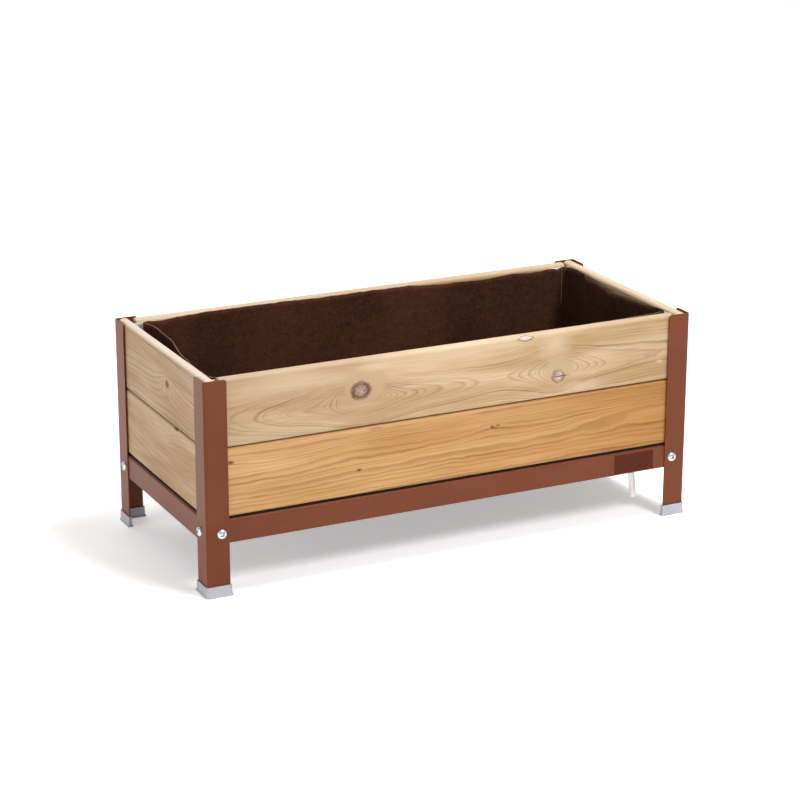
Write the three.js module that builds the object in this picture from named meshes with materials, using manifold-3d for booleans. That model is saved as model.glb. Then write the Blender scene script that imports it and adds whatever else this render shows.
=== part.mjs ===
// Elevated planter: a low frame of steel angles carrying a box of pine boards with a felt liner and a drain.
// Millimetres, +Z up. The origin is on the floor under the middle, and the front faces -Y.
import * as THREE from "three";
import { mergeVertices } from "three/addons/utils/BufferGeometryUtils.js";
import Module from "manifold-3d";

// Frame: equal steel angles, measured over the outer faces of the legs
const frameLength = 900;
const frameDepth = 400;
const groundClearance = 90;
const angleFlange = 40;
const angleThickness = 2;
const angleBend = 3;
const angleInnerBend = 1;
const legTipCut = 3;
const railEndGap = 6;
const railMitreGap = 1.5;

// Foot caps: moulded pockets that the leg ends stand in
const footHeight = 19;
const footFloor = 4;
const footWall = 2.2;
const footDraft = 0.4;
const footSkirt = 1.5;
const footSkirtHeight = 2.6;
const footSkirtBlend = 2.4;
const footTipRound = 1.4;
const footEdgeRound = 0.8;

// Frame bolts: pan heads with a cross recess, and flange nuts inside
const boltGauge = 26.5;
const boltDrop = 22;
const boltDiameter = 8;
const boltLength = 16;
const boltHoleClearance = 1;
const boltHeadDiameter = 16;
const boltHeadHeight = 5.6;
const boltHeadRim = 1.6;
const boltTipCut = 1;
const recessSpan = 8.4;
const recessSlot = 2;
const recessDepth = 3;
const nutAcrossFlats = 13;
const nutHeight = 8;
const nutFlangeDiameter = 17;
const nutFlangeThickness = 2;

// Boards: two on each side, eased on every edge
const boardHeight = 115;
const boardThickness = 20;
const boardSeam = 2;
const boardEdgeRound = 4;
const boardEndRound = 2.5;
const boardGap = 2;
const cornerGap = 6;

// Corner brackets: steel angles inside the box, screwed to the boards
const bracketHeight = 200;
const bracketTopDrop = 6;
const bracketGauge = 26;
const screwDiameter = 4;
const screwLength = 15;
const screwTip = 4;
const screwHeadDiameter = 8;
const screwHeadHeight = 2.6;
const screwHeadRim = 0.8;

// Drainage tray: the boards stand on its rim, a kerb runs inside their brackets, ribs stiffen it below
const trayFloor = 4;
const trayRimInset = 2;
const kerbGap = 0.4;
const kerbThickness = 2;
const kerbHeight = 22;
const ribCount = 7;
const ribThickness = 3;
const ribDepth = 4;
const ribEndGap = 1;

// Drain: an outlet let into the tray floor and the tube pushed on its spigot
const drainInset = 67;
const outletFlangeDiameter = 30;
const outletFlangeThickness = 2;
const outletBodyDiameter = 14;
const outletBodyDrop = 8;
const spigotDiameter = 8;
const spigotLength = 14;
const outletBore = 5.6;
const tubeDiameter = 12;
const tubeBore = 9;
// The tube's route: sideways, front-to-back and downward steps from the outlet's shoulder
const tubeRoute = [
  [0, 0, 0],
  [0, 0, 8],
  [0, 0, 16],
  [0, 0, 24],
  [0.1, 0, 31],
  [0.3, 0, 38],
  [0.6, 0, 45],
  [1, 0, 52],
  [1.5, -0.1, 59],
  [2.1, -0.2, 66],
  [2.8, -0.3, 73],
  [3.5, -0.4, 80],
  [4.2, -0.5, 87],
  [5, -0.6, 95],
  [5.8, -0.7, 103],
];

// Liner: a felt bag that hangs inside the boards and lies on the tray
const linerThickness = 3;
const linerCornerRound = 12;
// Top edge of each panel, walked anticlockwise from the front, as places with
// their share of the run, their drop below the rim and their lean away from the boards, or towards them
const linerFront = [
  [0, 8, 1],
  [0.3, 6, 4],
  [0.62, 9, 7],
  [1, 6, 1],
];
const linerRight = [
  [0, 6, 1],
  [0.14, 8, 2],
  [0.2, 5.5, 2],
  [0.35, 9, 3],
  [0.52, 12.5, 4.5],
  [0.6, 9.5, 3.5],
  [0.7, 7.5, 3],
  [0.78, 4.5, 5],
  [0.83, 1.5, 2.5],
  [0.88, 1, 1],
  [0.95, 4.5, 3],
  [1, 5, 2],
];
const linerBack = [
  [0, 5, 1],
  [0.05, 9, 1.5],
  [0.09, 8, 2],
  [0.13, 3.5, 2],
  [0.19, 7, 2],
  [0.3, 5.5, 1],
  [0.41, 1.5, -2.5],
  [0.6, 2, -2.5],
  [0.7, 0.5, -3],
  [0.86, 0.5, -2],
  [0.93, 2, 1],
  [0.97, 4, 2],
  [1, 2, 2],
];
const linerLeft = [
  [0, 1, 5.5],
  [0.06, 3, 16],
  [0.16, 5.2, 15.5],
  [0.27, 5.4, 17],
  [0.45, 6, 15.4],
  [0.565, 6, 4],
  [0.67, 7.5, 2],
  [1, 8, 1],
];
const linerLeanStart = 0.1;

// Clearance of a loose fit, and the overshoot of a cutting tool past the face that it leaves
const clearance = 0.3;
const overshoot = 1;

// How finely curves are divided, and how close two points are before they count as one
const bendSteps = 2;
const boardEdgeSteps = 2;
const boardEndSteps = 2;
const footSteps = 1;
const holeSides = 12;
const smallHoleSides = 8;
const boltSides = 16;
const boltHeadSteps = 4;
const nutSides = 16;
const screwSides = 8;
const screwHeadSteps = 2;
const tubeSides = 12;
const tubeSteps = 5;
const linerRows = 6;
const linerLongSteps = 28;
const linerShortSteps = 14;
const linerCornerSteps = 4;
const weldDistance = 1e-4;

// Levels and places that follow from the driving dimensions
const boardNames = ["lower", "upper"];
const railTop = groundClearance + angleFlange;
const boardsBottom = railTop + trayFloor;
const boardLevels = boardNames.map((_, row) => boardsBottom + row * (boardHeight + boardSeam));
const rimTop = boardLevels.at(-1) + boardHeight;
const boltLevel = railTop - boltDrop;
const boltHoleDiameter = boltDiameter + boltHoleClearance;
const boardFace = angleThickness + boardGap;
const wallInset = boardFace + boardThickness;
const bracketTop = rimTop - bracketTopDrop;
const bracketFace = wallInset + angleThickness;
const kerbInset = bracketFace + kerbGap;
const linerInset = Math.max(bracketFace + screwHeadHeight, kerbInset + kerbThickness) + clearance;
const linerFloor = boardsBottom + clearance;
const outletShoulder = railTop - outletBodyDrop;
const drainX = frameLength / 2 - drainInset;
const drainY = drainInset - frameDepth / 2;

// Finishes
function finish(color, roughness, metalness) {
  return new THREE.MeshStandardMaterial({ color, roughness, metalness });
}

const paintedSteel = finish(0x7c4836, 0.45, 0.1);
const zincPlate = finish(0xd4d7da, 0.3, 0.9);
const greyPlastic = finish(0xb4b3bb, 0.5, 0);
const upperPine = finish(0xd9bd8c, 0.65, 0);
const lowerPine = finish(0xcf9f5e, 0.65, 0);
const blackPlastic = finish(0x1b1b1c, 0.55, 0);
const clearTube = finish(0xe4dfdc, 0.25, 0);
const brownFelt = finish(0x3b241c, 0.95, 0);

const planter = new THREE.Group();

// Solids: closed three.js geometries cut and joined by manifold-3d
const wasm = await Module();
wasm.setup();

function solidOf(geometry) {
  const bare = new THREE.BufferGeometry();
  bare.setAttribute("position", geometry.getAttribute("position"));
  bare.setIndex(geometry.index);
  const merged = mergeVertices(bare, weldDistance);
  const corners = merged.index.array;
  const kept = [];
  // A lathe's faces on its axis have two corners in one place, and are left out
  for (let i = 0; i < corners.length; i += 3) {
    const [a, b, c] = corners.slice(i, i + 3);
    if (a !== b && b !== c && c !== a) kept.push(a, b, c);
  }
  return new wasm.Manifold(
    new wasm.Mesh({
      numProp: 3,
      vertProperties: merged.getAttribute("position").array,
      triVerts: new Uint32Array(kept),
    }),
  );
}

function geometryOf(solid) {
  const { vertProperties, triVerts } = solid.getMesh();
  const geometry = new THREE.BufferGeometry();
  geometry.setAttribute("position", new THREE.BufferAttribute(vertProperties, 3));
  geometry.setIndex(new THREE.BufferAttribute(triVerts, 1));
  geometry.computeVertexNormals();
  return geometry;
}

const cut = (solid, ...tools) => tools.reduce((left, tool) => left.subtract(tool), solid);

const join = (first, ...others) => others.reduce((whole, other) => whole.add(other), first);

function addPiece(parent, name, solid, material, place = [0, 0, 0], turn = 0) {
  const mesh = new THREE.Mesh(geometryOf(solid), material);
  mesh.name = name;
  mesh.position.set(...place);
  mesh.rotation.z = turn;
  parent.add(mesh);
}

// Outlines and the solids that they sweep
const axisX = new THREE.Vector3(1, 0, 0);
const axisY = new THREE.Vector3(0, 1, 0);
const axisZ = new THREE.Vector3(0, 0, 1);

function sweep(shape, depth, curveSegments, options = {}) {
  return new THREE.ExtrudeGeometry(shape, { depth, curveSegments, bevelEnabled: false, ...options });
}

// Sweeps an outline in (x, y) upward, in (x, z) towards +Y, or in (y, z) towards +X
function sweepUp(shape, from, to, segments) {
  return solidOf(sweep(shape, to - from, segments).translate(0, 0, from));
}

function sweepInY(shape, from, to, segments) {
  return solidOf(sweep(shape, to - from, segments).rotateX(Math.PI / 2).translate(0, to, 0));
}

const towardsX = new THREE.Matrix4().makeBasis(axisY, axisZ, axisX);

function sweepInX(shape, from, to, segments) {
  return solidOf(sweep(shape, to - from, segments).applyMatrix4(towardsX).translate(from, 0, 0));
}

function polygon(...points) {
  return new THREE.Shape(points.map(([x, y]) => new THREE.Vector2(x, y)));
}

function rectangle(x0, y0, x1, y1) {
  return polygon([x0, y0], [x1, y0], [x1, y1], [x0, y1]);
}

function roundedRectangle(x0, y0, x1, y1, radius) {
  const shape = new THREE.Shape();
  shape.absarc(x1 - radius, y0 + radius, radius, -Math.PI / 2, 0);
  shape.absarc(x1 - radius, y1 - radius, radius, 0, Math.PI / 2);
  shape.absarc(x0 + radius, y1 - radius, radius, Math.PI / 2, Math.PI);
  shape.absarc(x0 + radius, y0 + radius, radius, Math.PI, 1.5 * Math.PI);
  return shape;
}

function regular(sides, radius, centreX = 0, centreY = 0) {
  const corner = (k) => (2 * Math.PI * (k + 0.5)) / sides;
  const points = Array.from({ length: sides }, (_, k) => [
    centreX + radius * Math.cos(corner(k)),
    centreY + radius * Math.sin(corner(k)),
  ]);
  return polygon(...points);
}

// A round hole's outline, as wide over its flats as the hole
function hole(diameter, sides, centreX, centreY) {
  return regular(sides, diameter / 2 / Math.cos(Math.PI / sides), centreX, centreY);
}

// Section of an equal angle: its outer corner is at the origin and its flanges run along +X and +Y
function angleSection(offset = 0, tipRound = 0) {
  const low = -offset;
  const back = angleThickness + offset;
  const tip = angleFlange + offset;
  const bend = angleBend + offset;
  const inner = angleInnerBend;
  const shape = new THREE.Shape();
  shape.absarc(low + bend, low + bend, bend, Math.PI, 1.5 * Math.PI);
  shape.absarc(tip - tipRound, low + tipRound, tipRound, -Math.PI / 2, 0);
  shape.absarc(tip - tipRound, back - tipRound, tipRound, 0, Math.PI / 2);
  shape.absarc(back + inner, back + inner, inner, -Math.PI / 2, -Math.PI, true);
  shape.absarc(back - tipRound, tip - tipRound, tipRound, 0, Math.PI / 2);
  shape.absarc(low + tipRound, tip - tipRound, tipRound, Math.PI / 2, Math.PI);
  return shape;
}

// A skin over rings of points, one above the other, closed by its first and last ring
function loft(rings) {
  const count = rings[0].length;
  const points = rings.flat();
  const faces = [];
  for (let row = 0; row + 1 < rings.length; row += 1) {
    for (let k = 0; k < count; k += 1) {
      const a = row * count + k;
      const b = row * count + ((k + 1) % count);
      faces.push(a, b, b + count, a, b + count, a + count);
    }
  }
  const flat = (ring) => ring.map((p) => new THREE.Vector2(p.x, p.y));
  const last = (rings.length - 1) * count;
  for (const [a, b, c] of THREE.ShapeUtils.triangulateShape(flat(rings[0]), [])) faces.push(a, c, b);
  for (const [a, b, c] of THREE.ShapeUtils.triangulateShape(flat(rings.at(-1)), [])) {
    faces.push(last + a, last + b, last + c);
  }
  const geometry = new THREE.BufferGeometry().setFromPoints(points);
  geometry.setIndex(faces);
  return solidOf(geometry);
}

// A turned solid on the Y axis, from a profile of [radius, height] points that rises
function turned(profile, sides) {
  const points = profile.map(([radius, height]) => new THREE.Vector2(radius, height));
  return solidOf(new THREE.LatheGeometry(points, sides));
}

// Turns a solid's axis from Y to Z
const standUp = (solid) => solid.rotate([90, 0, 0]);

// A pan head's dome: from its crown on the axis to its rim, below the seat at height zero
function panHead(diameter, height, rim, steps) {
  const radius = diameter / 2;
  const profile = [];
  for (let k = 0; k <= steps; k += 1) {
    const angle = (k / steps) * (Math.PI / 2);
    profile.push([radius * Math.sin(angle), -rim - (height - rim) * Math.cos(angle)]);
  }
  profile.push([radius, 0]);
  return profile;
}

// Leg: an angle with a bolt hole in each flange and its top tips cut off
function legSolid() {
  const body = sweepUp(angleSection(), footFloor, rimTop, bendSteps);
  const round = hole(boltHoleDiameter, holeSides, boltGauge, boltLevel);
  const tip = polygon(
    [angleFlange - legTipCut, rimTop],
    [angleFlange, rimTop - legTipCut],
    [angleFlange + overshoot, rimTop - legTipCut],
    [angleFlange + overshoot, rimTop + overshoot],
    [angleFlange - legTipCut, rimTop + overshoot],
  );
  const past = angleThickness + overshoot;
  return cut(
    body,
    sweepInY(round, -overshoot, past),
    sweepInX(round, -overshoot, past),
    sweepInY(tip, -overshoot, past),
    sweepInX(tip, -overshoot, past),
  );
}

// Foot cap: a flared skirt under drafted walls, with a pocket in the shape of the angle
function footSolid() {
  const ring = (level, offset) =>
    angleSection(offset, footTipRound)
      .getPoints(footSteps)
      .map((p) => new THREE.Vector3(p.x, p.y, level));
  const skirtReach = footWall + footDraft + footSkirt;
  const rings = [
    ring(0, skirtReach - footEdgeRound),
    ring(footEdgeRound, skirtReach),
    ring(footSkirtHeight, skirtReach),
    ring(footSkirtHeight + footSkirtBlend / 2, footWall + footDraft + footSkirt / 3),
    ring(footSkirtHeight + footSkirtBlend, footWall + footDraft),
    ring(footHeight, footWall),
  ];
  const pocket = sweepUp(angleSection(clearance), footFloor, footHeight + overshoot, footSteps);
  return cut(loft(rings), pocket);
}

// Rail: an angle with one flange upright behind the legs and the other level, mitred at the corners
function railSolid(span) {
  const reach = span / 2 - railEndGap;
  const place = new THREE.Matrix4().makeBasis(axisZ.clone().negate(), axisY, axisX);
  place.setPosition(-reach, angleThickness, railTop);
  const body = solidOf(sweep(angleSection(), 2 * reach, bendSteps).applyMatrix4(place));
  const deep = angleThickness + angleFlange + overshoot;
  const mitreStart = span / 2 - railMitreGap;
  const mitre = (sign) =>
    sweepUp(
      polygon(
        ...[
          [mitreStart, 0],
          [mitreStart + overshoot, 0],
          [mitreStart + overshoot, deep],
          [mitreStart - deep, deep],
        ].map(([x, y]) => [sign * x, y]),
      ),
      groundClearance - overshoot,
      railTop + overshoot,
    );
  const boltHole = (sign) => {
    const round = hole(boltHoleDiameter, holeSides, sign * (span / 2 - boltGauge), boltLevel);
    return sweepInY(round, angleThickness - overshoot, 2 * angleThickness + overshoot);
  };
  return cut(body, mitre(1), mitre(-1), boltHole(1), boltHole(-1));
}

// Bolt: a pan head seated at height zero with its shank towards +Y
function boltSolid() {
  const shank = boltDiameter / 2;
  const body = turned(
    [
      ...panHead(boltHeadDiameter, boltHeadHeight, boltHeadRim, boltHeadSteps),
      [shank, 0],
      [shank, boltLength - boltTipCut],
      [shank - boltTipCut, boltLength],
      [0, boltLength],
    ],
    boltSides,
  );
  const slot = recessSlot / 2;
  const arm = recessSpan / 2;
  const cross = polygon(
    [slot, slot], [slot, arm], [-slot, arm], [-slot, slot], [-arm, slot], [-arm, -slot],
    [-slot, -slot], [-slot, -arm], [slot, -arm], [slot, -slot], [arm, -slot], [arm, slot],
  );
  return cut(body, sweepInY(cross, -boltHeadHeight - overshoot, recessDepth - boltHeadHeight));
}

// Flange nut: its flange seats on the rail and its hexagon faces inward
function nutSolid() {
  const hexRadius = nutAcrossFlats / 2 / Math.cos(Math.PI / 6);
  const seat = 2 * angleThickness;
  const flange = sweepInY(regular(nutSides, nutFlangeDiameter / 2), seat, seat + nutFlangeThickness);
  const hexagon = sweepInY(regular(6, hexRadius), seat + nutFlangeThickness, seat + nutHeight);
  const bore = hole(boltDiameter + 2 * clearance, nutSides, 0, 0);
  return cut(join(flange, hexagon), sweepInY(bore, seat - overshoot, seat + nutHeight + overshoot));
}

// Board: eased along its edges and ends, with a pilot hole for the bracket screw near each end
function boardSolid(length, screwPlaces, level) {
  const round = boardEndRound;
  const section = roundedRectangle(boardFace, level, wallInset, level + boardHeight, boardEdgeRound);
  const body = sweep(section, length - 2 * round, boardEdgeSteps, {
    bevelEnabled: true,
    bevelThickness: round,
    bevelSize: round,
    bevelOffset: -round,
    bevelSegments: boardEndSteps,
  });
  body.applyMatrix4(towardsX).translate(round - length / 2, 0, 0);
  const bite = screwLength - angleThickness + clearance;
  const pilot = (x) =>
    sweepInY(
      hole(screwDiameter + 2 * clearance, smallHoleSides, x, level + boardHeight / 2),
      wallInset - bite,
      wallInset + overshoot,
    );
  return cut(solidOf(body), ...screwPlaces.map(pilot));
}

// Corner bracket: an angle that lies on the inner faces of the boards
function bracketSolid() {
  const body = sweepUp(angleSection(), bracketTop - bracketHeight, bracketTop, bendSteps);
  const past = angleThickness + overshoot;
  const holes = boardLevels.flatMap((level) => {
    const round = hole(screwDiameter + 2 * clearance, smallHoleSides, bracketGauge, level + boardHeight / 2);
    return [sweepInY(round, -overshoot, past), sweepInX(round, -overshoot, past)];
  });
  return cut(body, ...holes);
}

// Bracket screw: its head seats on the bracket and its point goes into the board, towards -Y
function screwSolid() {
  const shank = screwDiameter / 2;
  const body = turned(
    [
      ...panHead(screwHeadDiameter, screwHeadHeight, screwHeadRim, screwHeadSteps),
      [shank, 0],
      [shank, screwLength - screwTip],
      [0, screwLength],
    ],
    screwSides,
  );
  return body.rotate([0, 0, 180]).translate([0, angleThickness, 0]);
}

// Tray: a floor that the boards stand on, a kerb inside their brackets and ribs between the rails
function traySolid() {
  const halfLength = frameLength / 2;
  const halfDepth = frameDepth / 2;
  const inset = (distance) =>
    rectangle(distance - halfLength, distance - halfDepth, halfLength - distance, halfDepth - distance);
  const floor = sweepUp(inset(boardFace + trayRimInset), railTop, boardsBottom);
  const kerbTop = boardsBottom + kerbHeight;
  const kerb = cut(
    sweepUp(inset(kerbInset), boardsBottom, kerbTop),
    sweepUp(inset(kerbInset + kerbThickness), boardsBottom - overshoot, kerbTop + overshoot),
  );
  const railReach = angleThickness + angleFlange + ribEndGap;
  const ribSpan = frameLength - 2 * drainInset - 2 * outletFlangeDiameter;
  const ribs = Array.from({ length: ribCount }, (_, k) => {
    const x = (k / (ribCount - 1) - 0.5) * ribSpan;
    const ribReach = halfDepth - railReach;
    const outline = rectangle(x - ribThickness / 2, -ribReach, x + ribThickness / 2, ribReach);
    return sweepUp(outline, railTop - ribDepth, railTop);
  });
  const seat = hole(outletFlangeDiameter + 2 * clearance, nutSides, drainX, drainY);
  const drain = hole(outletBodyDiameter + 2 * clearance, nutSides, drainX, drainY);
  return cut(
    join(floor, kerb, ...ribs),
    sweepUp(seat, boardsBottom - outletFlangeThickness, boardsBottom + overshoot),
    sweepUp(drain, railTop - overshoot, boardsBottom + overshoot),
  );
}

// Outlet: a flange let into the tray floor, a body through it and a spigot below
function outletSolid() {
  const seat = boardsBottom - outletFlangeThickness;
  const spigotEnd = outletShoulder - spigotLength;
  const bore = outletBore / 2;
  const profile = [
    [bore, spigotEnd],
    [spigotDiameter / 2, spigotEnd],
    [spigotDiameter / 2, outletShoulder],
    [outletBodyDiameter / 2, outletShoulder],
    [outletBodyDiameter / 2, seat],
    [outletFlangeDiameter / 2, seat],
    [outletFlangeDiameter / 2, boardsBottom],
    [bore, boardsBottom],
    [bore, spigotEnd],
  ];
  return standUp(turned(profile, nutSides));
}

// Tube: a hose section swept along its route, sleeved over the spigot
function tubeSolid() {
  const top = outletShoulder - clearance;
  const points = tubeRoute.map(([x, y, fall]) => new THREE.Vector3(x, y, top - fall));
  const path = new THREE.CatmullRomCurve3(points);
  const section = regular(tubeSides, tubeDiameter / 2);
  section.holes.push(regular(tubeSides, tubeBore / 2));
  return solidOf(new THREE.ExtrudeGeometry(section, { steps: tubeSteps, extrudePath: path }));
}

// A panel edge's value at a share of its run, eased from one of its named places to the next
function eased(form, share, column) {
  const next = Math.max(1, form.findIndex(([place]) => place >= share));
  const [low, high] = [form[next - 1], form[next]];
  const part = THREE.MathUtils.smoothstep(share, low[0], high[0]);
  return THREE.MathUtils.lerp(low[column], high[column], part);
}

// Stations round the liner: a place on its outline, its inward normal, its drop and its lean as a vector
function linerStations() {
  const halfRun = [frameLength / 2 - linerInset, frameDepth / 2 - linerInset];
  const panels = [linerFront, linerRight, linerBack, linerLeft];
  const steps = [linerLongSteps, linerShortSteps];
  const stations = [];
  panels.forEach((form, k) => {
    const before = panels.at(k - 1);
    const after = panels[(k + 1) % panels.length];
    const along = axisX.clone().applyAxisAngle(axisZ, (k * Math.PI) / 2);
    const inward = axisY.clone().applyAxisAngle(axisZ, (k * Math.PI) / 2);
    const half = halfRun[k % 2] - linerCornerRound;
    const off = halfRun[(k + 1) % 2];
    const startPull = eased(before, 1, 2);
    const endPull = eased(after, 0, 2);
    for (let step = 0; step <= steps[k % 2]; step += 1) {
      const share = step / steps[k % 2];
      const place = along.clone().multiplyScalar(half * (2 * share - 1)).addScaledVector(inward, -off);
      const lean = inward.clone().multiplyScalar(eased(form, share, 2));
      lean.addScaledVector(along, startPull * (1 - share) - endPull * share);
      stations.push({ place, normal: inward.clone(), drop: eased(form, share, 1), lean });
    }
    const endLean = stations.at(-1).lean;
    const centre = along.clone().multiplyScalar(half).addScaledVector(inward, linerCornerRound - off);
    for (let step = 1; step < linerCornerSteps; step += 1) {
      const share = step / linerCornerSteps;
      const normal = inward.clone().applyAxisAngle(axisZ, (share * Math.PI) / 2);
      const place = centre.clone().addScaledVector(normal, -linerCornerRound);
      const drop = THREE.MathUtils.lerp(eased(form, 1, 1), eased(after, 0, 1), share);
      stations.push({ place, normal, drop, lean: endLean.clone() });
    }
  });
  return stations;
}

// Liner: an outer and an inner skin that lean and sag with the panels' top edges
function linerSolid() {
  const stations = linerStations();
  const ring = (inset, share, floor) =>
    stations.map(({ place, normal, drop, lean }) => {
      const point = place.clone().addScaledVector(normal, inset);
      point.addScaledVector(lean, THREE.MathUtils.smoothstep(share, linerLeanStart, 1));
      point.z = THREE.MathUtils.lerp(floor, rimTop - drop, share);
      return point;
    });
  const shares = Array.from({ length: linerRows + 1 }, (_, row) => row / linerRows);
  const outside = shares.map((share) => ring(0, share, linerFloor));
  const inside = shares.map((share) => ring(linerThickness, share, linerFloor + linerThickness));
  return loft([...outside, ...inside.reverse()]);
}

// Sides: each has a rail and a stack of boards; corners: each has a leg, a foot, a bracket and fasteners
const sides = [
  { name: "front", span: frameLength, outward: frameDepth / 2, endInset: wallInset + cornerGap },
  { name: "right", span: frameDepth, outward: frameLength / 2, endInset: boardFace },
  { name: "back", span: frameLength, outward: frameDepth / 2, endInset: wallInset + cornerGap },
  { name: "left", span: frameDepth, outward: frameLength / 2, endInset: boardFace },
];

function addSide(side, k) {
  const group = new THREE.Group();
  group.rotation.z = (k * Math.PI) / 2;
  group.position.set(0, -side.outward, 0).applyAxisAngle(axisZ, group.rotation.z);
  planter.add(group);
  addPiece(group, `${side.name}_rail`, railSolid(side.span), paintedSteel);
  const length = side.span - 2 * side.endInset;
  const screwPlace = side.span / 2 - wallInset - bracketGauge;
  boardLevels.forEach((level, row) => {
    const board = boardSolid(length, [-screwPlace, screwPlace], level);
    addPiece(group, `${side.name}_${boardNames[row]}_board`, board, row > 0 ? upperPine : lowerPine);
  });
}

function addCorner(side, k) {
  const before = sides.at(k - 1);
  const group = new THREE.Group();
  group.rotation.z = (k * Math.PI) / 2;
  group.position.set(-side.span / 2, -side.outward, 0).applyAxisAngle(axisZ, group.rotation.z);
  planter.add(group);
  const depthFirst = ["front", "back"].includes(side.name);
  const corner = depthFirst ? `${side.name}_${before.name}` : `${before.name}_${side.name}`;
  addPiece(group, `leg_${corner}`, legSolid(), paintedSteel);
  addPiece(group, `foot_cap_${corner}`, footSolid(), greyPlastic);
  addPiece(group, `corner_bracket_${corner}`, bracketSolid(), zincPlate, [wallInset, wallInset, 0]);

  // One flange lies on this side's face, and the other on the face of the side before it
  const onThisFace = {
    face: side.name,
    end: before.name,
    turn: 0,
    place: (along, inward) => [along, inward],
  };
  const onFaceBefore = {
    face: before.name,
    end: side.name,
    turn: -Math.PI / 2,
    place: (along, inward) => [inward, along],
  };
  for (const { face, end, turn, place } of [onThisFace, onFaceBefore]) {
    const boltPlace = [...place(boltGauge, 0), boltLevel];
    addPiece(group, `${face}_rail_bolt_${end}`, boltSolid(), zincPlate, boltPlace, turn);
    addPiece(group, `${face}_rail_nut_${end}`, nutSolid(), zincPlate, boltPlace, turn);
    boardLevels.forEach((level, row) => {
      const name = `${face}_${boardNames[row]}_board_screw_${end}`;
      const screwPlace = [...place(wallInset + bracketGauge, wallInset), level + boardHeight / 2];
      addPiece(group, name, screwSolid(), zincPlate, screwPlace, turn);
    });
  }
}

sides.forEach(addSide);
sides.forEach(addCorner);
addPiece(planter, "drain_tray", traySolid(), blackPlastic);
addPiece(planter, "drain_outlet", outletSolid(), blackPlastic, [drainX, drainY, 0]);
addPiece(planter, "drain_tube", tubeSolid(), clearTube, [drainX, drainY, 0]);
addPiece(planter, "felt_liner", linerSolid(), brownFelt);

export default planter;
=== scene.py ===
# Looks of an elevated planter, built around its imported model. Metres, +Z up, the front faces -Y.
import math

import bmesh
import bpy
from mathutils import Matrix, Vector, noise


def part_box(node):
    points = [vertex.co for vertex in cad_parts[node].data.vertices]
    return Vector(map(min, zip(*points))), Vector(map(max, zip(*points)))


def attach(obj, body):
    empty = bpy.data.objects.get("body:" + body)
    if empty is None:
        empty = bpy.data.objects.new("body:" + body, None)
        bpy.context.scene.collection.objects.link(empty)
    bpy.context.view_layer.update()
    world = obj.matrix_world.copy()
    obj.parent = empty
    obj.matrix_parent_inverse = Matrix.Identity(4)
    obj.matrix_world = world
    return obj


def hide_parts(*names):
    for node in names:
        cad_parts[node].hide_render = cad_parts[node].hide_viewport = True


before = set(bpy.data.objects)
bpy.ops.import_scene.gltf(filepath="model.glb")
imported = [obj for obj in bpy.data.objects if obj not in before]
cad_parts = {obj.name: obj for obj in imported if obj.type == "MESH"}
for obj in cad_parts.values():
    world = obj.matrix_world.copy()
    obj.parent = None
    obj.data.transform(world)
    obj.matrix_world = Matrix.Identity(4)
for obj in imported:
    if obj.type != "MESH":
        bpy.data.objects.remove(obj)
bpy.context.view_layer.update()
MM = 0.001

# Places that follow from the frame
leg_low, leg_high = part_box("leg_front_left")
FRAME_HALF = Vector((-leg_low.x, -leg_low.y))
RIM = leg_high.z
SIDES = ("front", "right", "back", "left")
CORNERS = ("front_left", "front_right", "back_right", "back_left")
ROWS = ("lower", "upper")

# Camera: the photograph's view, placed from the middle of the front at the height of the foot caps' tops
PHOTO_PIXELS = 800
FOCAL_PIXELS = 2475.6
SENSOR_WIDTH = 36.0
CAMERA_AZIMUTH = math.radians(-26.33)
CAMERA_ELEVATION = math.radians(18.21)
CAMERA_ROLL = math.radians(0.1)
CAMERA_AIM_HEIGHT = 19 * MM
CAMERA_AIM = Vector((0, -FRAME_HALF.y, CAMERA_AIM_HEIGHT))
CAMERA_DISTANCE = 4.173
CAMERA_RIGHT = -0.0939
CAMERA_RISE = 0.2414

# Tube: its route from the outlet's shoulder, as sideways, front-to-back and downward steps in millimetres
TUBE_START = Vector((383, -133, 121.7)) * MM
TUBE_ROUTE = (
    (0, 0, 0),
    (0, 0, 8),
    (0, 0, 16),
    (0, 0, 24),
    (0.1, 0, 31),
    (0.3, 0, 38),
    (0.6, 0, 45),
    (1, 0, 52),
    (1.5, -0.1, 59),
    (2.1, -0.2, 66),
    (2.8, -0.3, 73),
    (3.5, -0.4, 80),
    (4.2, -0.5, 87),
    (5, -0.6, 95),
    (5.8, -0.7, 103),
)
TUBE_DIAMETER = 12 * MM
TUBE_BORE = 9 * MM
TUBE_SIDES = 32

# Boards: how far their edges and ends are rounded, and how finely they are divided
BOARD_EDGE_ROUND = 4 * MM
BOARD_TOP_ROUND = 8 * MM
BOARD_END_ROUND = 2.5 * MM
BOARD_CORNER_STEPS = 6
BOARD_END_STEPS = 4
BOARD_STATION = 5 * MM

# Bolts: a pan head with a cross recess on a plain shank
BOLT_HEAD_RADIUS = 8 * MM
BOLT_HEAD_HEIGHT = 5.5 * MM
BOLT_HEAD_RIM = 1.4 * MM
BOLT_SHANK_RADIUS = 4 * MM
BOLT_LENGTH = 16 * MM
BOLT_TIP_CUT = 1 * MM
BOLT_HEAD_STEPS = 10
BOLT_SIDES = 48
RECESS_ARM = 5 * MM
RECESS_SLOT = 1.4 * MM
RECESS_DEPTH = 2.6 * MM
RECESS_TAPER = 0.5
RECESS_OVERSHOOT = 1.1
# Painted shade in the cross recess: its fade past the arms' ends, and the depths over which it sets in
RECESS_SHADE_FADE = 0.5 * MM
RECESS_SHADE_FROM = 0.1 * MM
RECESS_SHADE_TO = 0.3 * MM
# How far the bolts are turned, in degrees: at first, for each side, and for each letter of an end's name
BOLT_SPIN_START = 17
BOLT_SPIN_SIDE = 50
BOLT_SPIN_LETTER = 31

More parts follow.
